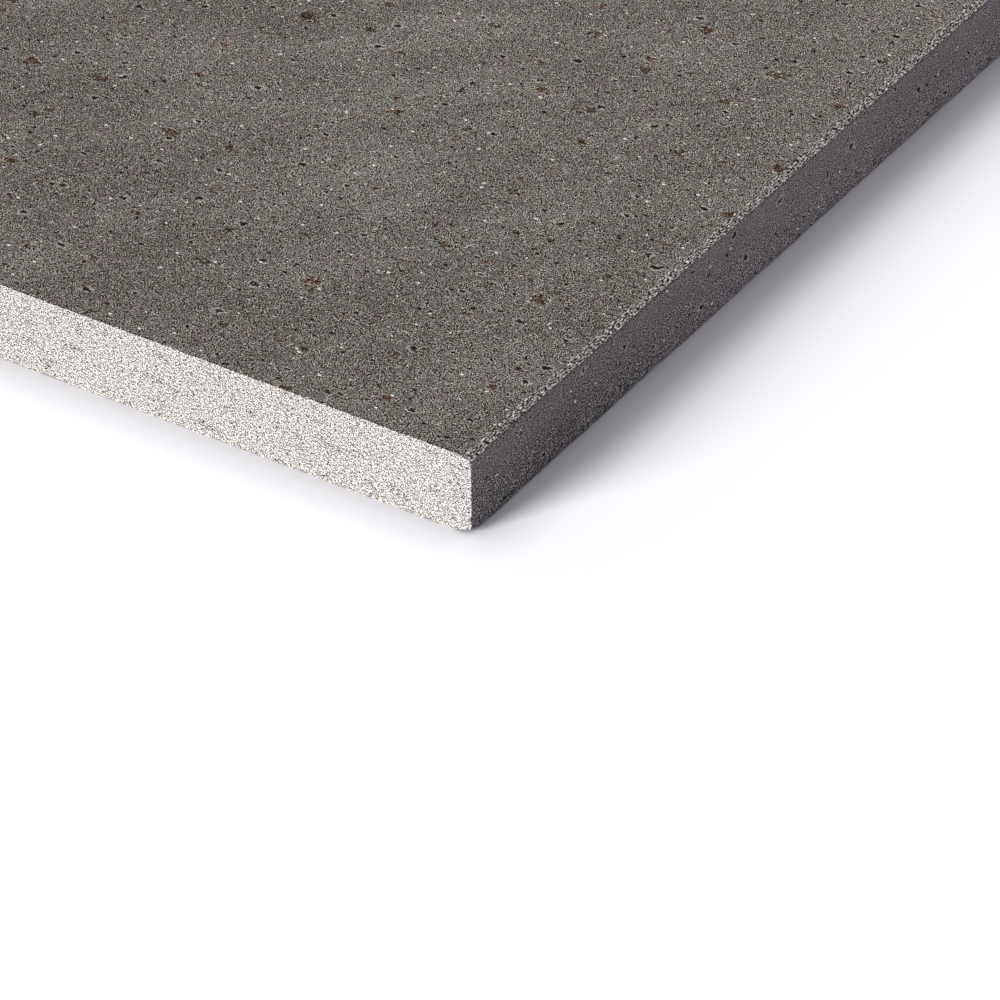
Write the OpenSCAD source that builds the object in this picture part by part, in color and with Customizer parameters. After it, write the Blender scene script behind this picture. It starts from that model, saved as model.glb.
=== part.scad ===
// Fibre cement board: one solid sheet, lying flat on Z = 0 and centred on the Z axis.
// Its length runs along Y between two square sawn ends, and its width along X between two
// finished long edges, whose upper arris is broken and whose lower arris is rubbed round.
// The front right corner is worn, above and below, and one flake is lost near it.

/* [Sheet] */
// Length of the sheet, from one sawn end to the other
sheet_length = 1200; // [400:10:3000]
// Width of the sheet, from one finished long edge to the other
sheet_width = 600; // [200:10:1250]
// Thickness of the sheet
sheet_thickness = 20; // [10:1:40]

/* [Long edges] */
// How far the broken upper arris reaches in over the top face
arris_reach = 2.4; // [0.5:0.1:6]
// How far the broken upper arris falls by the time it meets the edge
arris_drop = 0.4; // [0.2:0.1:3]
// Radius of the rubbed lower arris
foot_radius = 0.6; // [0.3:0.1:3]

/* [Worn corner, below] */
// How far the lower corner is rubbed back along the sawn end
lower_wear_across = 5; // [1:0.5:15]
// How far the lower corner is rubbed back along the long edge
lower_wear_along = 5; // [1:0.5:40]
// How far the same wear climbs the upright corner
lower_wear_climb = 1.5; // [0.5:0.1:4]

/* [Worn corner, above] */
// How far the upper corner is rubbed back along the sawn end
upper_wear_across = 3.5; // [1:0.5:15]
// How far the upper corner is rubbed back along the long edge
upper_wear_along = 25; // [1:0.5:40]
// How far the same wear falls down the upright corner
upper_wear_fall = 0.9; // [0.5:0.1:4]

/* [Spall] */
// Distance of the spall's middle from the worn corner, along the right-hand long edge
spall_distance = 75; // [25:1:300]
// Length of the spall along the lower arris
spall_length = 10; // [4:0.5:30]
// Depth of the spall, square to the lower arris
spall_bite = 1.2; // [0.5:0.1:2]

/* [Hidden] */

// Facets in a full circle
$fn = 96;

// How far a cutting shape stands outside the faces that it cuts
overcut = 1;

half_length = sheet_length / 2;
half_width = sheet_width / 2;

// The spall is scooped by a ball whose cap has the spall's length and bite
spall_ball_radius = (pow(spall_length / 2, 2) + pow(spall_bite, 2)) / (2 * spall_bite);
spall_ball_offset = (spall_ball_radius - spall_bite) / sqrt(2);

// What the broken upper arris takes off the section, with the square arris at the origin
module upper_arris_waste() {
    polygon([
        [-arris_reach, 0],
        [0, -arris_drop],
        [overcut, -arris_drop],
        [overcut, overcut],
        [-arris_reach, overcut]
    ]);
}

// What the rubbed lower arris takes off the section, with the square arris at the origin
module lower_arris_waste() {
    difference() {
        translate([-foot_radius, -overcut])
            square([foot_radius + overcut, foot_radius + overcut]);
        translate([-foot_radius, foot_radius])
            circle(foot_radius);
    }
}

// Cross-section of the sheet, the same from one end to the other
module sheet_section() {
    difference() {
        translate([-half_width, 0])
            square([sheet_width, sheet_thickness]);
        for (side = [0, 1])
            mirror([side, 0]) {
                translate([half_width, sheet_thickness])
                    upper_arris_waste();
                translate([half_width, 0])
                    lower_arris_waste();
            }
    }
}

// What wear takes off a lower front right corner that stands at the origin: everything below
// the plane that meets the corner's three edges at the given distances
module corner_wear(across, along, up) {
    heading = -atan(across / along);
    floor_distance = 1 / sqrt(pow(across, -2) + pow(along, -2));
    lean = atan(up / floor_distance);
    block = 2 * (across + along + up);
    translate([0, 0, up])
        rotate([0, -lean, heading])
            translate([-block / 2, -block / 2, -block])
                cube(block);
}

// The worn corner, below and above
module worn_corner_waste() {
    translate([half_width, -half_length, 0])
        corner_wear(lower_wear_across, lower_wear_along, lower_wear_climb);
    translate([half_width, -half_length, sheet_thickness])
        mirror([0, 0, 1])
            corner_wear(upper_wear_across, upper_wear_along, upper_wear_fall);
}

// The flake lost from the right-hand lower arris
module spall_waste() {
    translate([half_width + spall_ball_offset, spall_distance - half_length, -spall_ball_offset])
        sphere(spall_ball_radius);
}

// The whole sheet
module board() {
    color([0.42, 0.4, 0.38])
        difference() {
            rotate([90, 0, 0])
                linear_extrude(sheet_length, center = true)
                    sheet_section();
            worn_corner_waste();
            spall_waste();
        }
}

board();
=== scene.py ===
"""Fibre cement board: the dressed sheet and its studio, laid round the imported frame.

The sheet is one closed surface. A rim carries the section of the edges round the outline, close
set near the worn front right corner, and a coarse panel fills it above and below. Crumbled
arrises, the worn corner and the spall are in the mesh. Grain, flecks, fibres and saw marks are
in the materials, which read Object coordinates.
"""

import itertools
import math

import bpy
import numpy as np
from bpy.props import FloatProperty, FloatVectorProperty, IntProperty, PointerProperty
from mathutils import Matrix, Vector


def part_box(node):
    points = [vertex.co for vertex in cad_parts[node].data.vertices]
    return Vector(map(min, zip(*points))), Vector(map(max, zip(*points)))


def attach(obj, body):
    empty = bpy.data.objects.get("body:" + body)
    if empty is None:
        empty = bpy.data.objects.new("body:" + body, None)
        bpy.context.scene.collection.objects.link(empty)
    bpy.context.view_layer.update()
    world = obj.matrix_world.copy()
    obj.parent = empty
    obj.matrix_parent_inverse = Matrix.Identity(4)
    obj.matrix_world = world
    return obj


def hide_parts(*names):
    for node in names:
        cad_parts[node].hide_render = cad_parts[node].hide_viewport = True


bl_info = {
    "name": "Fibre Cement Board",
    "version": (1, 0, 0),
    "blender": (4, 5, 0),
    "location": "3D View > Sidebar > Board",
    "description": "Makes a flecked fibre cement board with sawn ends and broken arrises",
    "category": "Add Mesh",
}

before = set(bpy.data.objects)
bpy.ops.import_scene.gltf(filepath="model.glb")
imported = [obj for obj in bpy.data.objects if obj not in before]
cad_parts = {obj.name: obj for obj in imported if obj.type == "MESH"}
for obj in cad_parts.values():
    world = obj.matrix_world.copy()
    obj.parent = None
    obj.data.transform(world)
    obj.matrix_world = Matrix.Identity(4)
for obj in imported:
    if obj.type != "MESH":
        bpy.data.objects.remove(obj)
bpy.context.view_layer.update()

MM = 0.001
BODY = "root"
NODE = "board"
LOW, HIGH = (np.array(corner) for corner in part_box(NODE))
HALF_WIDTH = HIGH[0]
HALF_LENGTH = HIGH[1]
THICKNESS = HIGH[2]

# The faces of the sheet. The first four follow the outline counterclockwise from the front.
FRONT, RIGHT, BACK, LEFT, TOP, UNDERSIDE = range(6)

# The finishes, in the order of the sheet's material slots
PRESSED, EDGE, SAWN = range(3)
FINISH_OF_FACE = np.array([SAWN, EDGE, SAWN, EDGE, PRESSED, PRESSED])

# How the rim's rows are set: how far past the broken arris and past the foot they lie on the
# flat faces, and how many cross the broken arris, the upright face and the foot
OUTER_ROWS = np.array([0.6, 1.8, 3.6]) * MM
UNDER_ROWS = np.array([1.0, 3.0, 6.0]) * MM
ARRIS_ROWS, WALL_ROWS, FOOT_ROWS = 9, 38, 5
# How far the flat panels stay inside the outline
PANEL_MARGIN = 13 * MM
# Faces that meet at more than this show a sharp edge between them
SHARP_ANGLE = math.radians(50)


def length_value(name, description, millimetres, least=0.0):
    """A length that the sidebar shows, given in millimetres and kept in metres."""
    return FloatProperty(
        name=name,
        description=description,
        default=millimetres * MM,
        min=least * MM,
        unit="LENGTH",
        precision=5,
    )


def share_value(name, description, default):
    """A number from 0 to 1 that the sidebar shows as a slider."""
    return FloatProperty(
        name=name, description=description, default=default, min=0.0, max=1.0, subtype="FACTOR"
    )


def colour_value(name, description, default):
    """A linear colour that the sidebar shows as a swatch."""
    return FloatVectorProperty(
        name=name,
        description=description,
        default=default,
        size=3,
        min=0.0,
        max=4.0,
        subtype="COLOR",
    )


def angle_value(name, description, degrees):
    """An angle that the sidebar shows in degrees."""
    return FloatProperty(
        name=name, description=description, default=math.radians(degrees), subtype="ANGLE"
    )


class SheetShape(bpy.types.PropertyGroup):
    """Sizes of the sheet's edges, of its wear and of the mesh that shows them."""

    arris_reach: length_value(
        "Arris reach", "How far the broken upper arris reaches in over the top face", 2.4
    )
    arris_drop: length_value(
        "Arris drop", "How far the broken upper arris falls before it meets the edge", 0.4
    )
    foot_radius: length_value("Foot radius", "Radius of the rubbed lower arris", 0.6)
    lower_wear_across: length_value(
        "Lower wear across", "How far the lower corner is rubbed back along the sawn end", 5.0
    )
    lower_wear_along: length_value(
        "Lower wear along", "How far the lower corner is rubbed back along the long edge", 5.0
    )
    lower_wear_climb: length_value(
        "Lower wear climb", "How far the lower wear climbs the upright corner", 1.5
    )
    upper_wear_across: length_value(
        "Upper wear across", "How far the upper corner is rubbed back along the sawn end", 3.5
    )
    upper_wear_along: length_value(
        "Upper wear along", "How far the upper corner is rubbed back along the long edge", 25.0
    )
    upper_wear_fall: length_value(
        "Upper wear fall", "How far the upper wear falls down the upright corner", 0.9
    )
    spall_distance: length_value(
        "Spall distance", "Distance of the spall's middle from the worn corner", 75.0
    )
    spall_length: length_value("Spall length", "Length of the spall along the arris", 10.0, 1.0)
    spall_bite: length_value("Spall bite", "Depth of the spall, square to the arris", 1.2, 0.1)
    fine_step: length_value("Fine step", "Mesh step along the rim near the corner", 0.6, 0.1)
    coarse_step: length_value("Coarse step", "Mesh step along the rest of the rim", 5.0, 0.5)
    fine_front: length_value("Fine front", "Stretch of the front end that is finely set", 135.0)
    fine_right: length_value("Fine right", "Stretch of the right edge that is finely set", 235.0)
    panel_cell: length_value("Panel cell", "Mesh cell of the flat faces", 13.0, 2.0)
    seed: IntProperty(name="Seed", description="Start of the crumbled arrises", default=7)


class CementFinish(bpy.types.PropertyGroup):
    """Colours of the cement, of what is pressed into it and of its sawn ends."""

    pressed: colour_value(
        "Pressed cement", "Mean colour of the pressed faces", (0.15, 0.1393, 0.1208)
    )
    undertone: colour_value(
        "Undertone", "Brown that stays in the darkest grains of the cement", (0.0116, 0.0053, 0.0)
    )
    edge: colour_value("Edge cement", "Mean colour of the long edges", (0.155, 0.143, 0.142))
    sawn: colour_value("Sawn cement", "Mean colour of the sawn ends", (0.283, 0.271, 0.259))
    sawn_crumbs: colour_value(
        "Sawn crumbs", "Colour of the crumbled lower arris of a sawn end", (0.298, 0.28, 0.259)
    )
    broken: colour_value("Broken cement", "Colour of broken arrises", (0.153, 0.144, 0.13))
    bruise: colour_value("Bruise", "Colour of the bruises on a sawn end", (0.262, 0.254, 0.25))
    rust_fleck: colour_value("Rust fleck", "Colour of the reddest wood flecks", (0.1, 0.045, 0.022))
    olive_fleck: colour_value("Olive fleck", "Colour of the dullest flecks", (0.08, 0.054, 0.025))
    # The dark fleck colour is also painted shade: it darkens the pits and, in part, the chips'
    # hollow cores, besides the dark fibres
    dark_fleck_and_pit_shade: colour_value("Dark fleck", "Colour of fleck cores and pits", (0.01, 0.007, 0.004))
    grit: colour_value("Grit", "Colour of pale grit", (0.8, 0.76, 0.7))
    grain_contrast: share_value("Grain contrast", "How strongly the grain shows", 0.5)


class StageLight(bpy.types.PropertyGroup):
    """The floor, the lamps and the camera."""

    key_side: angle_value(
        "Key side", "Direction that the key light comes from, turned from -Y toward -X", 19.1
    )
    key_height: angle_value("Key height", "Height of the key light over the horizon", 20.0)
    key_spread: angle_value("Key spread", "Width of the key light as the board sees it", 24.0)
    key_strength: FloatProperty(
        name="Key strength", description="Strength of the key light", default=5.1
    )
    fill_strength: FloatProperty(
        name="Fill strength", description="Strength of the light from all round", default=0.48
    )
    fill: colour_value("Fill", "Colour of the light from all round", (1.03, 1.0, 1.1))
    floor_shade: colour_value("Floor", "Colour that the floor sends back up", (0.85, 0.85, 0.85))
    floor_shown: colour_value("Floor shown", "Colour that the floor shows", (0.98, 0.98, 0.98))
    # The contact reach and the contact shade set the painted shade on the floor near the board
    contact_reach: length_value(
        "Contact reach", "How far the board shades the floor that it stands on", 15.0, 0.1
    )
    contact_shade: colour_value(
        "Contact shade", "Colour that the floor would show where all is shut off", (0.3, 0.3, 0.33)
    )
    floor_size: FloatProperty(
        name="Floor size", description="Side of the square floor", default=24.0, unit="LENGTH"
    )
    lens: FloatProperty(name="Lens", description="Focal length in millimetres", default=198.0)
    azimuth: angle_value("Azimuth", "How far the camera stands round toward +X", 32.82)
    elevation: angle_value("Elevation", "How high the camera stands over the board", 35.56)
    roll: angle_value("Roll", "How far the camera leans", -0.1)
    distance: length_value("Distance", "From the camera to the near corner's depth", 1158.0)
    corner_right: length_value(
        "Corner right", "How far the near corner lies right of the view's axis", -6.09, -1000.0
    )
    corner_up: length_value(
        "Corner up", "How far the near corner lies above the view's axis", 8.6, -1000.0
    )


# ---------------------------------------------------------------- noise on arrays of points


def hashed(cells, seed):
    """A repeatable random number from 0 to 1 for each whole cell.

    The three cell numbers are multiplied by large odd numbers and joined bit by bit, and the
    result is shifted onto itself and multiplied until no order is left.
    """
    x, y, z = np.moveaxis(cells.astype(np.int64).astype(np.uint64), -1, 0)
    mixed = x * np.uint64(0x9E3779B97F4A7C15)
    mixed ^= y * np.uint64(0xC2B2AE3D27D4EB4F)
    mixed ^= z * np.uint64(0x165667B19E3779F9)
    mixed ^= np.uint64(seed * 0x27D4EB2F165667C5 % 2**64)
    for shift in (33, 29, 32):
        mixed ^= mixed >> np.uint64(shift)
        mixed *= np.uint64(0xD6E8FEB86659FD93)
    return (mixed >> np.uint64(11)) / 2.0**53


def value_noise(points, wavelength, seed):
    """Smooth noise from -1 to 1: random numbers at the corners of a cubic lattice of the given
    wavelength, blended inside each cube by 3t^2 - 2t^3 along each axis."""
    place = points / wavelength
    cell = np.floor(place)
    part = place - cell
    part = part * part * (3 - 2 * part)
    total = 0
    for corner in itertools.product((0, 1), repeat=3):
        weight = np.where(corner, part, 1 - part).prod(axis=-1)
        total = total + weight * hashed(cell + corner, seed)
    return 2 * total - 1


def smooth_rise(value, start, stop):
    """0 before start and 1 after stop, with 3t^2 - 2t^3 between. start may be the greater."""
    t = np.clip((value - start) / (stop - start), 0, 1)
    return t * t * (3 - 2 * t)


# ---------------------------------------------------------------- the sheet's surface


def even_steps(start, stop, step):
    """Marks from start up to but not including stop, set as near to step apart as they fit."""
    count = max(round(abs(stop - start) / step), 1)
    return start + (stop - start) * np.arange(count) / count


def outline(shape):
    """The rim's samples, counterclockwise from the front left corner.

    Returns each sample's mark, which is the number of its side plus the share of that side
    walked so far, and how finely the rim is set there, from 0 to 1.
    """
    width, length = 2 * HALF_WIDTH, 2 * HALF_LENGTH
    fine_from, fade = width - shape.fine_front, 10 * MM
    to_fine = even_steps(0, fine_from, shape.coarse_step)
    to_corner = even_steps(fine_from, width, shape.fine_step)
    from_corner = even_steps(0, shape.fine_right, shape.fine_step)
    to_back = even_steps(shape.fine_right, length, shape.coarse_step)
    front = np.concatenate((to_fine, to_corner))
    right = np.concatenate((from_corner, to_back))
    back = even_steps(0, width, shape.coarse_step)
    left = even_steps(0, length, shape.coarse_step)
    marks = (front / width, 1 + right / length, 2 + back / width, 3 + left / length)
    fine = (
        smooth_rise(front, fine_from, fine_from + fade),
        smooth_rise(right, shape.fine_right, shape.fine_right - fade),
        np.zeros_like(back),
        np.zeros_like(left),
    )
    return np.concatenate(marks), np.concatenate(fine)


def unit_outline(marks):
    """u and v, each sample's place across and along the sheet from -1 to 1. On each side one of
    them stays at -1 or 1, and the other runs with the share of the side walked."""
    side = np.floor(marks).astype(int)
    run = 2 * (marks - side) - 1
    still = np.ones_like(run)
    u = np.choose(side, (run, still, -run, -still))
    v = np.choose(side, (-still, run, still, -run))
    return u, v


def section(shape):
    """The rim's rows, from the top face over the edge to the underside.

    Each row has an inset from the long edges, an inset from the sawn ends and a share of the
    height of the cover above it. The rows cross the broken arris evenly and round the foot by
    equal angles. Down the upright face they crowd toward both arrises: the share walked is t
    less half of sin(2 pi t) / (2 pi). A sawn end has no foot: there the foot's rows only fall to
    the floor. Also returns how many rows lie on the top face and how many on the underside.
    """
    shoulder = THICKNESS - shape.arris_drop
    past = shape.arris_reach + OUTER_ROWS[::-1]
    over = np.concatenate((past, np.linspace(shape.arris_reach, 0, ARRIS_ROWS)))
    t = np.arange(1, WALL_ROWS + 1) / WALL_ROWS
    walked = t - np.sin(2 * np.pi * t) / (4 * np.pi)
    wall = shoulder + (shape.foot_radius - shoulder) * walked
    bend = np.pi / 2 * np.arange(1, FOOT_ROWS + 1) / FOOT_ROWS
    inset_long = (
        over,
        np.zeros(WALL_ROWS),
        shape.foot_radius * (1 - np.cos(bend)),
        shape.foot_radius + UNDER_ROWS,
    )
    inset_end = (over, np.zeros(WALL_ROWS), np.zeros(FOOT_ROWS), UNDER_ROWS)
    share = (
        np.ones_like(over),
        wall / shoulder,
        shape.foot_radius * (1 - np.sin(bend)) / shoulder,
        np.zeros_like(UNDER_ROWS),
    )
    rows = [np.concatenate(stretches) for stretches in (inset_long, inset_end, share)]
    return rows, len(over), len(UNDER_ROWS)


def cover_height(x, y, shape):
    """Height of the sheet's top: the thickness, less the broken arris, which falls evenly over
    its reach, or less the worn corner's plane where that lies lower."""
    arris = np.clip(1 - (HALF_WIDTH - np.abs(x)) / shape.arris_reach, 0, 1)
    across = (HALF_WIDTH - x) / shape.upper_wear_across
    along = (HALF_LENGTH + y) / shape.upper_wear_along
    worn = np.clip(1 - across - along, 0, 1)
    return THICKNESS - np.maximum(shape.arris_drop * arris, shape.upper_wear_fall * worn)


def foot_height(x, y, shape):
    """Height of the sheet's underside: none, but for the worn corner's plane."""
    across = (HALF_WIDTH - x) / shape.lower_wear_across
    along = (HALF_LENGTH + y) / shape.lower_wear_along
    return shape.lower_wear_climb * np.clip(1 - across - along, 0, 1)


def scoop_spall(points, shape):
    """Points inside the spall's ball are pushed out to its surface, away from its middle, which
    lies off the lower arris along the diagonal, so that the ball bites as deep as it should."""
    half, bite = shape.spall_length / 2, shape.spall_bite
    radius = (half**2 + bite**2) / (2 * bite)
    off = (radius - bite) / math.sqrt(2)
    middle = np.array([HALF_WIDTH + off, shape.spall_distance - HALF_LENGTH, -off])
    away = points - middle
    distance = np.linalg.norm(away, axis=-1, keepdims=True)
    return np.where(distance < radius, middle + away * radius / distance, points)


def crumbled_depth(points, fine, shape):
    """How deep each point of the rim has crumbled away, in metres.

    The depth is largest on an arris and fades with the distance from it as a bell curve does.
    Each kind of arris has its own reach, its own depths and its own grains of noise, all in
    millimetres. Noise below its floor is cut off, so that where a floor is given most of the
    arris is sound, with chips here and there. Fine noise fades where the rim is coarse.
    """
    to_long = HALF_WIDTH - np.abs(points[..., 0])
    to_end = HALF_LENGTH - np.abs(points[..., 1])
    below_top = THICKNESS - points[..., 2]
    below_shoulder = np.maximum(below_top - shape.arris_drop, 0)
    above_foot = points[..., 2]

    def near(first, second, reach):
        """1 on an arris, falling with two distances that are square to each other."""
        return np.exp(-(first**2 + second**2) / (reach * MM) ** 2)

    def crumbs(millimetres, number, floor=0.0):
        """Noise from 0 to 1 of a given wavelength, cut off below its floor."""
        noise = value_noise(points, millimetres * MM, shape.seed + number)
        return np.clip((noise - floor) / (1 - floor), 0, 1)

    # The broken band on top, and the shoulder where it meets the long edge
    band = smooth_rise(to_long, 1.08 * shape.arris_reach, 0.88 * shape.arris_reach)
    band *= near(0, below_shoulder, 0.35)
    fine_band = 0.06 + 0.12 * crumbs(1.5, 1) + 0.14 * crumbs(0.9, 2)
    depth = band * (fine * fine_band + 0.15 * crumbs(6.0, 3, 0.25))
    shoulder = near(to_long, below_shoulder, 0.6)
    depth += shoulder * (fine * 0.3 * crumbs(1.2, 4) + 0.15 * crumbs(4.5, 5, 0.35))
    # The lower arris of a long edge
    foot = near(to_long, above_foot, 1.3)
    depth += foot * (fine * (0.1 + 0.35 * crumbs(1.4, 6)) + 0.2 * crumbs(7.0, 7, 0.2))
    # The upper and the lower arris of a sawn end
    sawn_top = near(to_end, below_top, 0.5)
    depth += sawn_top * (fine * 0.2 * crumbs(1.0, 8, 0.2) + 0.15 * crumbs(3.2, 9, 0.55))
    sawn_foot = near(to_end, above_foot, 0.9)
    depth += sawn_foot * (fine * (0.03 + 0.5 * crumbs(1.1, 10)) + 0.1 * crumbs(4.0, 11, 0.3))
    # The upright corners
    upright = near(to_long, to_end, 0.6)
    depth += upright * (0.05 + fine * 0.8 * crumbs(1.0, 12))
    return depth * MM


def crumble(points, fine, shape):
    """Draws the rim's points in by their crumbled depth.

    The way in is the sum of the inward directions of the faces that the point lies on or near,
    each fading with its distance, made one long.
    """
    depth = crumbled_depth(points, fine, shape)
    near = 0.45 * MM
    gap_low = points - LOW
    gap_high = HIGH - points
    way = np.exp(-gap_low / near) - np.exp(-gap_high / near)
    way /= np.maximum(np.linalg.norm(way, axis=-1, keepdims=True), 1e-9)
    return points + way * depth[..., None]


def lay_rim(shape):
    """The rim as a grid of points, rows by samples, with each sample's mark.

    A sample at (u, v) lies at u times the half width less the row's inset from the long edges,
    and v times the half length less its inset from the ends. Its height is the row's share of
    the cover's height there, squeezed up over the worn foot. Then the spall and the crumbled
    arrises are taken off, apart from the first and last rows, which meet the flat panels.
    """
    marks, fine = outline(shape)
    u, v = unit_outline(marks)
    (inset_long, inset_end, share), _, _ = section(shape)
    x = u * (HALF_WIDTH - inset_long[:, None])
    y = v * (HALF_LENGTH - inset_end[:, None])
    z = share[:, None] * cover_height(x, y, shape)
    lift = foot_height(x, y, shape)
    z = lift + z * (1 - lift / THICKNESS)
    whole = scoop_spall(np.stack((x, y, z), axis=-1), shape)
    points = np.clip(crumble(whole, fine, shape), LOW, HIGH)
    points[[0, -1]] = whole[[0, -1]]
    return points, marks


def panel_grid(height, cell):
    """A flat grid of points inside the panel's margin, in equal steps across and along."""
    half_x, half_y = HALF_WIDTH - PANEL_MARGIN, HALF_LENGTH - PANEL_MARGIN
    across = np.linspace(-half_x, half_x, round(2 * half_x / cell) + 1)
    along = np.linspace(-half_y, half_y, round(2 * half_y / cell) + 1)
    y, x = np.meshgrid(along, across, indexing="ij")
    return np.stack((x, y, np.full_like(x, height)), axis=-1)


def grid_quads(numbers):
    """Quads between the neighbours of a grid of vertex numbers, counterclockwise where the
    columns run right and the rows run up."""
    low, high = numbers[:-1], numbers[1:]
    corners = (low[:, :-1], low[:, 1:], high[:, 1:], high[:, :-1])
    return np.stack(corners, axis=-1).reshape(-1, 4)


def border(numbers):
    """The outer vertices of a grid, counterclockwise from its first, with their marks, which
    are the number of the side plus the share of it walked."""
    sides = (numbers[0], numbers[:, -1], numbers[-1, ::-1], numbers[::-1, 0])
    loop = np.concatenate([line[:-1] for line in sides])
    marks = [side + np.arange(len(line) - 1) / (len(line) - 1) for side, line in enumerate(sides)]
    return loop, np.concatenate(marks)


def zip_loops(outer, outer_marks, inner, inner_marks):
    """Triangles between two loops of vertices that run counterclockwise, one inside the other.

    Each outer step is joined to the inner vertex nearest its middle, and each inner step to the
    outer vertex at which that nearest vertex changes. Where an outer and an inner middle fall
    together, the outer step takes the earlier vertex.
    """
    outer_middles = (outer_marks + np.append(outer_marks[1:], 4)) / 2
    inner_middles = (inner_marks + np.append(inner_marks[1:], 4)) / 2
    apex = inner[np.searchsorted(inner_middles, outer_middles) % len(inner)]
    outward = np.stack((outer, np.roll(outer, -1), apex), axis=-1)
    change = outer[np.searchsorted(outer_middles, inner_middles, side="right") % len(outer)]
    inward = np.stack((np.roll(inner, -1), inner, change), axis=-1)
    return np.concatenate((outward, inward))


def sheet_surface(shape):
    """The whole closed surface: points, quads, triangles, and the face of the sheet that each
    quad and then each triangle belongs to.

    The rim's first row is zipped to a flat panel on top, and its last row to one underneath.
    """
    rim, marks = lay_rim(shape)
    top = panel_grid(THICKNESS, shape.panel_cell)
    under = panel_grid(0.0, shape.panel_cell)
    parts = (rim, top, under)
    points = np.concatenate([part.reshape(-1, 3) for part in parts])
    counts = np.cumsum([part[..., 0].size for part in parts])
    numbers = np.split(np.arange(len(points)), counts[:-1])
    rim_numbers, top_numbers, under_numbers = (
        each.reshape(part.shape[:2]) for each, part in zip(numbers, parts)
    )

    _, over_rows, under_rows = section(shape)
    bands = len(rim) - 1
    rim_faces = np.tile(np.floor(marks).astype(int), (bands, 1))
    rim_faces[: over_rows - 1] = TOP
    rim_faces[bands - under_rows :] = UNDERSIDE
    ring = np.concatenate((rim_numbers, rim_numbers[:, :1]), axis=1)
    rim_quads = grid_quads(ring)[:, ::-1]
    top_quads = grid_quads(top_numbers)
    under_quads = grid_quads(under_numbers)[:, ::-1]
    top_zip = zip_loops(rim_numbers[0], marks, *border(top_numbers))
    under_zip = zip_loops(rim_numbers[-1], marks, *border(under_numbers))[:, ::-1]

    quads = np.concatenate((rim_quads, top_quads, under_quads))
    triangles = np.concatenate((top_zip, under_zip))
    flat_parts = (top_quads, under_quads, top_zip, under_zip)
    flat_faces = np.repeat((TOP, UNDERSIDE, TOP, UNDERSIDE), [len(part) for part in flat_parts])
    faces = np.concatenate((rim_faces.ravel(), flat_faces))
    return points, quads, triangles, faces


def map_places(points, faces):
    """Where each corner lies on the sheet's map, from its point and its face.

    The top lies along the map's foot, and the underside over it, smaller. Over that lie strips,
    stretched to twice their height: one for each long edge, and a last one for the two ends. A
    place is the point's distance along the face times the island's scale, from its corner.
    """
    width, length = 2 * HALF_WIDTH, 2 * HALF_LENGTH
    scale, gap = 0.82, 0.008
    under_scale, strip_scale = 0.7 * scale, 2 * scale
    under_foot = gap + width * scale + gap
    strip_foot = under_foot + width * under_scale + gap
    strip = THICKNESS * strip_scale + gap
    half_way = gap + length * scale / 2 + gap
    x, y, z = (points - LOW).T
    places = {
        TOP: (gap + y * scale, gap + x * scale),
        UNDERSIDE: (gap + y * under_scale, under_foot + x * under_scale),
        RIGHT: (gap + y * scale, strip_foot + z * strip_scale),
        LEFT: (gap + y * scale, strip_foot + strip + z * strip_scale),
        FRONT: (gap + x * scale, strip_foot + 2 * strip + z * strip_scale),
        BACK: (half_way + x * scale, strip_foot + 2 * strip + z * strip_scale),
    }
    order = sorted(places)
    across = np.choose(faces, [places[face][0] for face in order])
    up = np.choose(faces, [places[face][1] for face in order])
    return np.stack((across, up), axis=-1)


def sheet_mesh(shape):
    """The sheet as a mesh, with its finishes and its map."""
    points, quads, triangles, faces = sheet_surface(shape)
    mesh = bpy.data.meshes.new("board_surface")
    mesh.from_pydata(points, [], quads.tolist() + triangles.tolist())
    mesh.polygons.foreach_set("material_index", FINISH_OF_FACE[faces].astype(np.int32))
    corners = np.concatenate((quads.ravel(), triangles.ravel()))
    sizes = np.concatenate((np.full(len(quads), 4), np.full(len(triangles), 3)))
    places = map_places(points[corners], np.repeat(faces, sizes))
    sheet_map = mesh.uv_layers.new(name="OFBake", do_init=False)
    sheet_map.uv.foreach_set("vector", places.astype(np.float32).ravel())
    mesh.shade_smooth()
    mesh.set_sharp_from_angle(angle=SHARP_ANGLE)
    mesh.validate()
    return mesh


# ---------------------------------------------------------------- shader building


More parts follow.
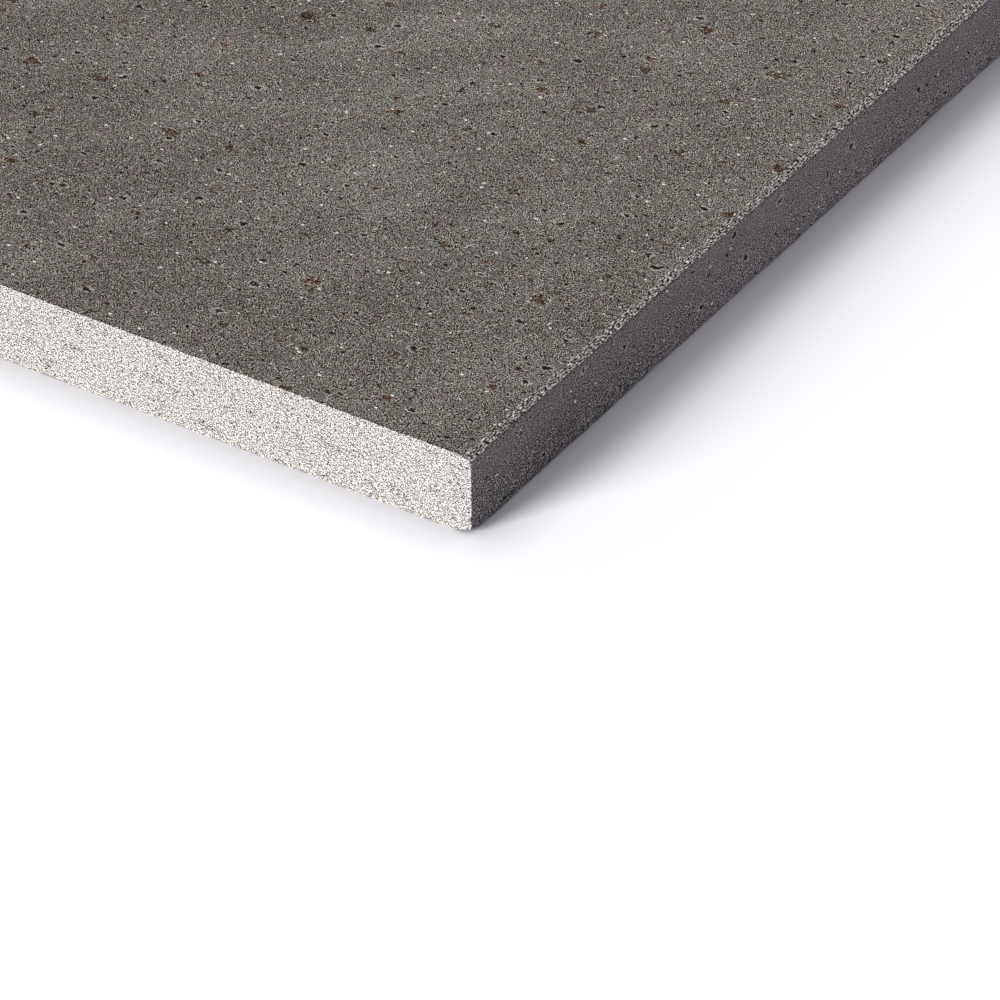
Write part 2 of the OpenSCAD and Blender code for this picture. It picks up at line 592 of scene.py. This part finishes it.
class Painter:
    """Adds nodes to a material or a world and links them, so that a finish reads as steps."""

    def __init__(self, owner):
        self.owner = owner
        owner.use_nodes = True
        self.tree = owner.node_tree
        self.tree.nodes.clear()

    def add(self, kind, settings=None, **inputs):
        """A node with its settings and its inputs, which are values or other nodes' sockets."""
        made = self.tree.nodes.new("ShaderNode" + kind)
        for name, value in (settings or {}).items():
            setattr(made, name, value)
        for name, value in inputs.items():
            self.feed(made.inputs[name.replace("_", " ")], value)
        return made

    def feed(self, socket, value):
        """Links another node's socket to this one, or sets it to a plain value."""
        if isinstance(value, bpy.types.NodeSocket):
            self.tree.links.new(value, socket)
        elif socket.type == "RGBA" and len(value) == 3:
            socket.default_value = (*value, 1)
        else:
            socket.default_value = value

    def join(self, kind, settings, values):
        """The first output of a node whose inputs are given these values in their order."""
        made = self.add(kind, settings)
        for socket, value in zip(made.inputs, values):
            self.feed(socket, value)
        return made.outputs[0]

    def calc(self, operation, *values):
        """The result of one operation on up to three numbers."""
        return self.join("Math", {"operation": operation}, values)

    def calc_vector(self, operation, *values):
        """The result of one operation on up to three places or colours."""
        return self.join("VectorMath", {"operation": operation}, values)

    def ramp(self, value, start, stop, low=0.0, high=1.0):
        """value brought smoothly from the range start to stop into low to high, and held
        there outside it."""
        made = self.add(
            "MapRange",
            {"interpolation_type": "SMOOTHSTEP", "clamp": True},
            Value=value,
            From_Min=start,
            From_Max=stop,
            To_Min=low,
            To_Max=high,
        )
        return made.outputs["Result"]

    def peak(self, value, middle, reach):
        """1 where value is middle, falling smoothly to 0 at reach on either side."""
        away = self.calc("ABSOLUTE", self.calc("SUBTRACT", value, middle))
        return self.ramp(away, reach, 0.0)

    def noise(self, place, size, octaves=1, dimensions="3D"):
        """Smooth noise from 0 to 1 whose features are about size metres apart, as one number
        (Fac) and as three (Color). Noise of two dimensions reads only X and Y."""
        settings = {"noise_dimensions": dimensions}
        made = self.add("TexNoise", settings, Vector=place, Scale=1 / size, Detail=octaves - 1)
        return made.outputs

    def drift(self, place, size, octaves=2):
        """Smooth noise around 0, from -0.5 to 0.5, over patches of the given size."""
        return self.calc("SUBTRACT", self.noise(place, size, octaves)["Fac"], 0.5)

    def cells(self, place, size):
        """Cells of about size metres, which read only X and Y: each point's distance from its
        cell's middle, in cells, and three random numbers for each cell, the cell's dice."""
        made = self.add("TexVoronoi", {"voronoi_dimensions": "2D"}, Vector=place, Scale=1 / size)
        dice = self.add("SeparateColor", Color=made.outputs["Color"]).outputs
        return made.outputs["Distance"], dice

    def facing(self, place, axes):
        """Coordinates with their axes put in another order, such as XZY, so that the face's own
        plane comes first."""
        split = self.add("SeparateXYZ", Vector=place).outputs
        return self.join("CombineXYZ", {}, [split[axis] for axis in axes])

    def turned(self, place, turn, length, width=1):
        """Coordinates turned about Z by an angle in radians, and then divided by a length and
        a width, so that what is drawn on them is drawn out that much."""
        made = self.add(
            "Mapping",
            {"vector_type": "TEXTURE"},
            Vector=place,
            Rotation=(0, 0, turn),
            Scale=(length, width, 1),
        )
        return made.outputs["Vector"]

    def shaken(self, place, size, amount):
        """Coordinates moved about by noise, so that what is drawn on them has ragged outlines."""
        noise = self.noise(place, size, 2)["Color"]
        return self.calc_vector("MULTIPLY_ADD", noise, (amount,) * 3, place)

    def mix(self, share, first, second):
        """Two colours mixed by a share."""
        made = self.add("Mix", {"data_type": "RGBA"})
        # The node keeps its colours in sockets 6 and 7 and their mix in output 2
        for number, value in ((0, share), (6, first), (7, second)):
            self.feed(made.inputs[number], value)
        return made.outputs[2]

    def stained(self, colour, place, size, amount):
        """A colour whose channels drift apart by up to amount over patches of the given size."""
        noise = self.noise(place, size, 3)["Color"]
        stain = self.calc_vector("MULTIPLY_ADD", noise, (amount,) * 3, (1 - amount / 2,) * 3)
        return self.calc_vector("MULTIPLY", colour, stain)

    def scaled(self, colour, amount):
        """A colour made lighter or darker by a factor."""
        made = self.add("VectorMath", {"operation": "SCALE"}, Vector=colour, Scale=amount)
        return made.outputs[0]

    def coat(self, colour, height, relief, roughness):
        """The material, as a dull surface of this colour, with height times relief as bump."""
        bump = self.add("Bump", Height=height, Distance=relief)
        shader = self.add(
            "BsdfPrincipled",
            Base_Color=colour,
            Roughness=roughness,
            Specular_IOR_Level=0.1,
            Normal=bump.outputs["Normal"],
        )
        self.add("OutputMaterial", Surface=shader.outputs["BSDF"])
        return self.owner


# ---------------------------------------------------------------- the finishes

# The grain of each finish: its layer of hard grains, and then its layers of smooth noise. A
# layer has its turn in degrees, a grain's length and width in millimetres, and its strength.
PRESSED_GRAIN = (
    (-72, 0.585, 0.35, 0.95),
    ((-57, 0.4, 0.235, 1.0), (0, 1.66, 0.42, 0.17), (-90, 1.9, 0.34, 0.25)),
)
BROKEN_GRAIN = (90, 0.75, 0.36, 0.9), ((90, 1.1, 0.3, 1.1),)
EDGE_GRAIN = (-40, 0.84, 0.36, 0.5), ((-40, 0.53, 0.235, 1.35),)
SAWN_GRAIN = (16, 0.55, 0.34, 0.45), ((52, 0.34, 0.235, 1.6), (-12, 1.0, 0.36, 0.6))

# The least and the greatest radius of each kind of fleck, in millimetres
LARGE_PIT, SMALL_PIT, GRIT, FIBRE = (0.25, 0.8), (0.16, 0.46), (0.1, 0.36), (0.08, 0.24)
SMALL_CHIP, LARGE_CHIP = (0.22, 0.68), (0.55, 1.75)
# Wood chips: their radii, how far apart they lie in millimetres, and how strongly they show
CHIPS = ((SMALL_CHIP, 8, 0.75), (LARGE_CHIP, 15, 0.85))
# Fibres: their turn in radians, how many times as long as wide they are, how far apart they
# lie in millimetres before they are drawn out, their colour, and how strongly they show
FIBRES = (
    (0.1, 8, 5.0, "dark_fleck_and_pit_shade", 0.7),
    (1.2, 10, 5.0, "grit", 0.3),
    (-0.3, 4, 3.0, "dark_fleck_and_pit_shade", 0.6),
    (-0.35, 4, 2.6, "grit", 0.15),
    (1.6, 4, 3.0, "grit", 0.12),
)
# How far the coarse look of a broken arris reaches in over a pressed face
BROKEN_REACH = 2.5 * MM
# How the saw's marks run across a sawn end
SAW_SLANT = math.radians(-9)
# What lightness is raised to, so that grains darken as much as they lighten once they blend
TONE_POWER = 1.6


def grain(paint, place, hard, soft):
    """Sand-like grain around 0: one layer of hard grains, which differ a little in lightness
    and darken toward their borders, and any number of layers of smooth noise."""

    def laid(turn, length, width):
        return paint.turned(place, math.radians(turn), length, width)

    turn, length, width, strength = hard
    from_middle, dice = paint.cells(laid(turn, length, width), 1 * MM)
    level = paint.calc("MULTIPLY_ADD", dice["Red"], 0.12, 0.37)
    total = paint.calc("MULTIPLY", paint.calc("SUBTRACT", level, from_middle), strength)
    for turn, length, width, strength in soft:
        smooth = paint.noise(laid(turn, length, width), 1 * MM, 1, "2D")["Fac"]
        smooth = paint.calc("SUBTRACT", smooth, 0.5)
        total = paint.calc("MULTIPLY_ADD", smooth, strength, total)
    return total


def busy_patches(paint, place):
    """How strongly the grain shows, which changes over patches of some millimetres."""
    return paint.ramp(paint.noise(place, 1.8 * MM, 3)["Fac"], 0.35, 0.65, 0.6, 1.4)


def lightness(paint, *parts, middle=1.0):
    """The middle plus the sum of each part times its strength, raised to the tone power."""
    total = middle
    for value, strength in parts:
        total = paint.calc("MULTIPLY_ADD", value, strength, total)
    return paint.calc("POWER", paint.calc("MAXIMUM", total, 0.1), TONE_POWER)


def flecks(paint, place, spacing, radii, ragged=0.0):
    """Discs of the given radii, mostly small, one in each flat cell: how far out each point
    lies, as a share of its disc's radius, and the cells' dice. Noise moves the share up and
    down by up to half of ragged, so that the outlines run in and out."""
    least, most = (radius * MM for radius in radii)
    distance, dice = paint.cells(place, spacing)
    skewed = paint.calc("MULTIPLY", dice["Red"], dice["Red"])
    radius = paint.calc("MULTIPLY_ADD", skewed, (most - least) / spacing, least / spacing)
    share = paint.calc("DIVIDE", distance, radius)
    return paint.calc("MULTIPLY_ADD", paint.drift(place, 0.7 * MM), ragged, share), dice


def with_pits_and_grit(paint, place, colour, finish, spacing):
    """The colour with dark pits in it, painted near black as shade in the holes, the large ones
    pale round their rims, partly pale paste and partly a painted highlight, and with pale grit, and
    the mask of the pits. There is one small pit in each square of the spacing."""
    shaken = paint.shaken(place, 0.7 * MM, 1.3 * MM)
    large, _ = flecks(paint, shaken, 2.1 * spacing, LARGE_PIT, 2.5)
    small, _ = flecks(paint, shaken, spacing, SMALL_PIT)
    pits = paint.calc("MAXIMUM", paint.ramp(large, 1.0, 0.8), paint.ramp(small, 1.0, 0.8))
    # Partly pale paste and partly a painted highlight: a pale rim round each large pit
    pale_rims_and_highlights = paint.calc("MULTIPLY", paint.peak(large, 1.4, 0.4), 0.3)
    colour = paint.mix(pale_rims_and_highlights, colour, finish.grit)
    # Painted shade: the pits are darkened near black as holes
    colour = paint.mix(pits, colour, finish.dark_fleck_and_pit_shade)
    grit, _ = flecks(paint, place, 1.25 * spacing, GRIT)
    return paint.mix(paint.ramp(grit, 1.0, 0.8, 0.0, 0.9), colour, finish.grit), pits


def pressed_ground(paint, place, to_long, to_end, finish):
    """The pressed cement itself, its sandy grain and its lightness. The grain is busier in
    places, slow clouds run across it, and it is darker and rougher along a sawn end."""
    at_end = paint.peak(to_end, 0.0, 0.8 * MM)
    busy = paint.calc("MULTIPLY_ADD", at_end, 1.6, busy_patches(paint, place))
    sand = paint.calc("MULTIPLY", grain(paint, place, *PRESSED_GRAIN), busy)
    clouds = paint.turned(place, math.radians(50), 2)
    shade = lightness(
        paint,
        (sand, 5.4 * finish.grain_contrast),
        (paint.drift(place, 2.4 * MM), 0.04),
        (paint.drift(clouds, 14 * MM, 3), 0.56),
        (paint.drift(place, 170 * MM), 0.2),
        (at_end, -0.8),
        # Painted highlight just inside the broken arris's inner line
        (paint.peak(to_long, 2.9 * MM, 0.9 * MM), 0.07),
        (busy, -0.04),
        middle=0.882,
    )
    stone = np.array(finish.pressed) - np.array(finish.undertone)
    body = paint.scaled(paint.stained(tuple(stone), place, 4 * MM, 0.24), shade)
    return paint.calc_vector("ADD", body, tuple(finish.undertone)), sand, shade


def with_chips(paint, place, drawn, wavy, colour, shade, finish):
    """The colour with chips of wood in it, from rust to olive, and the mask of their dark cores.
    The large chips have the cores, partly dark wood and partly painted shade in their hollows, some
    a dark ring, and pale scraps round them, partly pale paste and partly a painted highlight."""
    for radii, spacing, shown in CHIPS:
        chips, dice = flecks(paint, drawn, spacing * MM, radii, 3.5)
        wood = paint.mix(dice["Green"], finish.rust_fleck, finish.olive_fleck)
        wood = paint.scaled(wood, shade)
        colour = paint.mix(paint.ramp(chips, 1.0, 0.7, 0.0, shown), colour, wood)

    # Partly pale paste and partly a painted highlight: pale scraps round the large chips
    scraps_and_highlights = paint.ramp(paint.noise(wavy, 0.8 * MM)["Fac"], 0.5, 0.6, 0.0, 0.35)
    scraps_and_highlights = paint.calc("MULTIPLY", paint.peak(chips, 1.15, 0.35), scraps_and_highlights)
    colour = paint.mix(scraps_and_highlights, colour, finish.grit)
    # Dark cores: partly dark wood, partly painted shade in the chips' hollows
    cores = paint.ramp(paint.noise(place, 0.8 * MM)["Fac"], 0.52, 0.6)
    cores = paint.calc("MULTIPLY", cores, paint.ramp(chips, 0.75, 0.55, 0.0, 0.9))
    ring = paint.ramp(dice["Blue"], 0.7, 0.8, 0.0, 0.9)
    ring = paint.calc("MULTIPLY", paint.peak(chips, 0.85, 0.3), ring)
    cores = paint.calc("MAXIMUM", cores, ring)
    return paint.mix(cores, colour, finish.dark_fleck_and_pit_shade), cores


def with_fibres(paint, wavy, colour, finish):
    """The colour with short fibres in it, some dark and some pale."""
    for turn, length, spacing, tint, shown in FIBRES:
        fibres, _ = flecks(paint, paint.turned(wavy, turn, length), spacing * MM, FIBRE)
        mask = paint.ramp(fibres, 1.0, 0.6, 0.0, shown)
        colour = paint.mix(mask, colour, getattr(finish, tint))
    return colour


def with_broken_arris(paint, place, to_long, colour, finish):
    """The colour with a coarse speckled band over it where a long arris is broken, with painted
    highlights along the band's inner line and along the arris itself."""
    inset = paint.calc("MULTIPLY_ADD", paint.drift(place, 1.6 * MM), 1.0 * MM, to_long)
    speckle = lightness(
        paint,
        (grain(paint, place, *BROKEN_GRAIN), 3.3),
        # Painted highlights along the band's inner line and along the arris; slightly darker
        # between them
        (paint.peak(inset, 2.2 * MM, 0.4 * MM), 0.22),
        (paint.peak(inset, 1.2 * MM, 0.6 * MM), -0.03),
        (paint.peak(inset, 0.1 * MM, 0.3 * MM), 0.14),
    )
    band = paint.ramp(inset, BROKEN_REACH, BROKEN_REACH - 0.25 * MM)
    return paint.mix(band, colour, paint.scaled(tuple(finish.broken), speckle))


def pressed_cement(finish):
    """The pressed faces: brown-grey cement with chips of wood, pits, grit and short fibres,
    and with coarse speckled bands along its broken long arrises."""
    paint = Painter(bpy.data.materials.new("pressed_cement"))
    place = paint.add("TexCoord").outputs["Object"]
    split = paint.add("SeparateXYZ", Vector=place).outputs
    to_long = paint.calc("SUBTRACT", HALF_WIDTH, paint.calc("ABSOLUTE", split["X"]))
    to_end = paint.calc("SUBTRACT", HALF_LENGTH, paint.calc("ABSOLUTE", split["Y"]))
    drawn = paint.turned(place, math.radians(2), 1.45)
    wavy = paint.shaken(place, 2 * MM, 1.6 * MM)

    colour, sand, shade = pressed_ground(paint, place, to_long, to_end, finish)
    colour, cores = with_chips(paint, place, drawn, wavy, colour, shade, finish)
    colour, pits = with_pits_and_grit(paint, drawn, colour, finish, 4.8 * MM)
    colour = with_fibres(paint, wavy, colour, finish)
    colour = with_broken_arris(paint, place, to_long, colour, finish)
    height = paint.calc("MULTIPLY_ADD", paint.calc("MAXIMUM", pits, cores), -2.0, sand)
    return paint.coat(colour, height, 0.06 * MM, 0.88)


def edge_cement(finish):
    """The long edges: the same cement, finer and greyer, coarser and lumpy toward the foot, with
    painted shade in a thin line under the arris and near the front, most toward the foot."""
    paint = Painter(bpy.data.materials.new("edge_cement"))
    place = paint.facing(paint.add("TexCoord").outputs["Object"], "YZX")
    split = paint.add("SeparateXYZ", Vector=place).outputs
    run, height_up = split["X"], split["Y"]
    low = paint.ramp(height_up, 0.8 * THICKNESS, 0.05 * THICKNESS)
    # Painted shade near the front end of the long edge
    painted_front_shade = paint.ramp(run, -HALF_LENGTH + 120 * MM, -HALF_LENGTH + 20 * MM)
    rough = paint.ramp(height_up, 0.8 * THICKNESS, 0.15 * THICKNESS, 0.8, 1.3)
    sand = paint.calc("MULTIPLY", grain(paint, place, *EDGE_GRAIN), rough)
    sand = paint.calc("MULTIPLY", sand, busy_patches(paint, place))
    lumps = paint.ramp(paint.noise(paint.turned(place, 0, 1.6), 1.3 * MM, 2)["Fac"], 0.55, 0.66)
    lumps = paint.calc("MULTIPLY", lumps, paint.calc("MULTIPLY", low, low))
    shade = lightness(
        paint,
        (sand, 1.9),
        (lumps, -0.35),
        (paint.drift(place, 2.6 * MM), 0.055),
        (paint.drift(place, 18 * MM, 3), 0.14),
        (low, 0.1),
        # Painted shade near the front, deepest toward the foot
        (paint.calc("MULTIPLY", low, painted_front_shade), -0.25),
        (paint.peak(height_up, 0.5 * THICKNESS, 0.4 * THICKNESS), -0.035),
        (painted_front_shade, -0.08),
        # Painted shade: a thin darker line just under the arris
        (paint.peak(height_up, THICKNESS - 0.8 * MM, 0.7 * MM), -0.17),
    )
    colour = paint.scaled(paint.stained(tuple(finish.edge), place, 4 * MM, 0.2), shade)
    drawn = paint.turned(place, 0, 1.4)
    colour, pits = with_pits_and_grit(paint, drawn, colour, finish, 5.5 * MM)
    height = paint.calc("MULTIPLY_ADD", pits, -1.5, sand)
    return paint.coat(colour, height, 0.05 * MM, 0.9)


def sawn_cement(finish):
    """The sawn ends: pale cement dust with short dark streaks along the saw's slant, darkest in
    the bruised patches, and creamy crumbs along the lower arris."""
    paint = Painter(bpy.data.materials.new("sawn_cement"))
    place = paint.facing(paint.add("TexCoord").outputs["Object"], "XZY")
    dust = grain(paint, place, *SAWN_GRAIN)
    streaks = paint.noise(paint.turned(place, SAW_SLANT, 3.5), 0.25 * MM, 1, "2D")["Fac"]
    bruised = paint.noise(paint.turned(place, SAW_SLANT, 2.5), 2.5 * MM, 3)["Fac"]
    bruised = paint.ramp(bruised, 0.5, 0.72)
    shade = lightness(
        paint,
        (dust, 1.6),
        (paint.ramp(streaks, 0.52, 0.75), paint.ramp(bruised, 0.0, 1.0, -0.22, -1.1)),
        (paint.drift(place, 3 * MM), 0.055),
        (paint.drift(place, 30 * MM, 3), 0.08),
        middle=1.085,
    )
    height_up = paint.add("SeparateXYZ", Vector=place).outputs["Y"]
    crumbs = paint.ramp(height_up, 0.16 * THICKNESS, 0.02 * THICKNESS)
    colour = paint.mix(bruised, finish.sawn, finish.bruise)
    colour = paint.scaled(paint.mix(crumbs, colour, finish.sawn_crumbs), shade)
    return paint.coat(colour, dust, 0.04 * MM, 0.95)


# ---------------------------------------------------------------- the stage


def camera_axes(stage):
    """The camera's right, up and forward directions, from its turn, its height and its lean."""
    azimuth, elevation = stage.azimuth, stage.elevation
    right = Vector((math.cos(azimuth), math.sin(azimuth), 0))
    level = Vector((-math.sin(azimuth), math.cos(azimuth), 0))
    forward = level * math.cos(elevation) - Vector((0, 0, math.sin(elevation)))
    up = right.cross(forward)
    lean = Matrix.Rotation(-stage.roll, 3, forward)
    return lean @ right, lean @ up, forward


def place_camera(stage):
    """A long lens that looks down on the near corner of the top face."""
    right, up, forward = camera_axes(stage)
    corner = Vector((HIGH[0], LOW[1], HIGH[2]))
    lens = bpy.data.cameras.new("camera")
    lens.lens = stage.lens
    lens.sensor_width = 36
    lens.clip_start = 0.01
    lens.clip_end = 100
    camera = bpy.data.objects.new("camera", lens)
    bpy.context.collection.objects.link(camera)
    turn = Matrix((right, up, -forward)).transposed().to_4x4()
    spot = corner - right * stage.corner_right - up * stage.corner_up - forward * stage.distance
    camera.matrix_world = Matrix.Translation(spot) @ turn
    bpy.context.scene.camera = camera


def looked_at(paint):
    """1 for a ray from the camera, straight or by way of shine or glass, and 0 for the rest."""
    path = paint.add("LightPath").outputs
    by_way = paint.calc("MAXIMUM", path["Is Glossy Ray"], path["Is Transmission Ray"])
    return paint.calc("MAXIMUM", path["Is Camera Ray"], by_way)


def lay_floor(stage):
    """A wide white floor at the sheet's foot, which shows white and keeps the shadow, with painted
    shade near the board where ambient occlusion finds the floor shut in.
    """
    half = stage.floor_size / 2
    corners = ((-half, -half), (half, -half), (half, half), (-half, half))
    mesh = bpy.data.meshes.new("floor")
    mesh.from_pydata([(x, y, LOW[2]) for x, y in corners], [], [(0, 1, 2, 3)])
    paint = Painter(bpy.data.materials.new("floor_white"))
    # Painted shade: near the board the floor's shown colour falls toward the contact shade by
    # ambient occlusion
    contact = paint.add("AmbientOcclusion", {"samples": 8}, Distance=stage.contact_reach)
    painted_contact_shade = paint.mix(contact.outputs["AO"], stage.contact_shade, stage.floor_shown)
    colour = paint.mix(looked_at(paint), stage.floor_shade, painted_contact_shade)
    matt = paint.add("BsdfDiffuse", Color=colour)
    paint.add("OutputMaterial", Surface=matt.outputs["BSDF"])
    mesh.materials.append(paint.owner)
    floor = bpy.data.objects.new("floor", mesh)
    bpy.context.collection.objects.link(floor)


def light_key(stage):
    """The key light: a broad soft lamp, low in front of the sawn end and to its left."""
    lamp = bpy.data.lights.new("key", "SUN")
    lamp.energy = stage.key_strength
    lamp.angle = stage.key_spread
    key = bpy.data.objects.new("key", lamp)
    bpy.context.collection.objects.link(key)
    level = Vector((-math.sin(stage.key_side), -math.cos(stage.key_side), 0))
    toward = level * math.cos(stage.key_height) + Vector((0, 0, math.sin(stage.key_height)))
    key.rotation_mode = "QUATERNION"
    key.rotation_quaternion = toward.to_track_quat("Z", "Y")


def light_world(stage):
    """Light from all round, which shows as plain white behind the floor."""
    world = bpy.data.worlds.new("studio")
    bpy.context.scene.world = world
    paint = Painter(world)
    fill = paint.add("Background", Color=stage.fill, Strength=stage.fill_strength).outputs[0]
    white = paint.add("Background", Color=(1, 1, 1), Strength=1).outputs[0]
    sky = paint.join("MixShader", {}, (looked_at(paint), fill, white))
    paint.add("OutputWorld", Surface=sky)


# ---------------------------------------------------------------- the add-on


class BOARD_OT_set_stage(bpy.types.Operator):
    """Makes the floor, the lights and the camera"""

    bl_idname = "fibre_board.set_stage"
    bl_label = "Set Stage"
    bl_options = {"REGISTER", "UNDO"}

    def execute(self, context):
        stage = context.scene.board_stage
        place_camera(stage)
        lay_floor(stage)
        light_key(stage)
        light_world(stage)
        context.scene.view_settings.view_transform = "Standard"
        return {"FINISHED"}


class BOARD_OT_make_sheet(bpy.types.Operator):
    """Makes the dressed sheet in place of the plain one"""

    bl_idname = "fibre_board.make_sheet"
    bl_label = "Make Sheet"
    bl_options = {"REGISTER", "UNDO"}

    def execute(self, context):
        mesh = sheet_mesh(context.scene.board_shape)
        for make in (pressed_cement, edge_cement, sawn_cement):
            mesh.materials.append(make(context.scene.board_finish))
        sheet = bpy.data.objects.new("board_surface", mesh)
        context.collection.objects.link(sheet)
        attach(sheet, BODY)
        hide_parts(NODE)
        return {"FINISHED"}


class BOARD_PT_sidebar(bpy.types.Panel):
    """The board's sizes, colours and stage"""

    bl_label = "Fibre Cement Board"
    bl_space_type = "VIEW_3D"
    bl_region_type = "UI"
    bl_category = "Board"

    def draw(self, context):
        for group, operator in (
            (context.scene.board_shape, BOARD_OT_make_sheet),
            (context.scene.board_finish, None),
            (context.scene.board_stage, BOARD_OT_set_stage),
        ):
            box = self.layout.box()
            for name in group.__annotations__:
                box.prop(group, name)
            if operator:
                box.operator(operator.bl_idname)


GROUPS = {"board_shape": SheetShape, "board_finish": CementFinish, "board_stage": StageLight}
CLASSES = (*GROUPS.values(), BOARD_OT_set_stage, BOARD_OT_make_sheet, BOARD_PT_sidebar)


def register():
    for cls in CLASSES:
        bpy.utils.register_class(cls)
    for name, group in GROUPS.items():
        setattr(bpy.types.Scene, name, PointerProperty(type=group))


def unregister():
    for name in GROUPS:
        delattr(bpy.types.Scene, name)
    for cls in reversed(CLASSES):
        bpy.utils.unregister_class(cls)


def main():
    """Sets the stage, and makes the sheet."""
    register()
    bpy.ops.fibre_board.set_stage()
    bpy.ops.fibre_board.make_sheet()


if __name__ == "__main__":
    main()
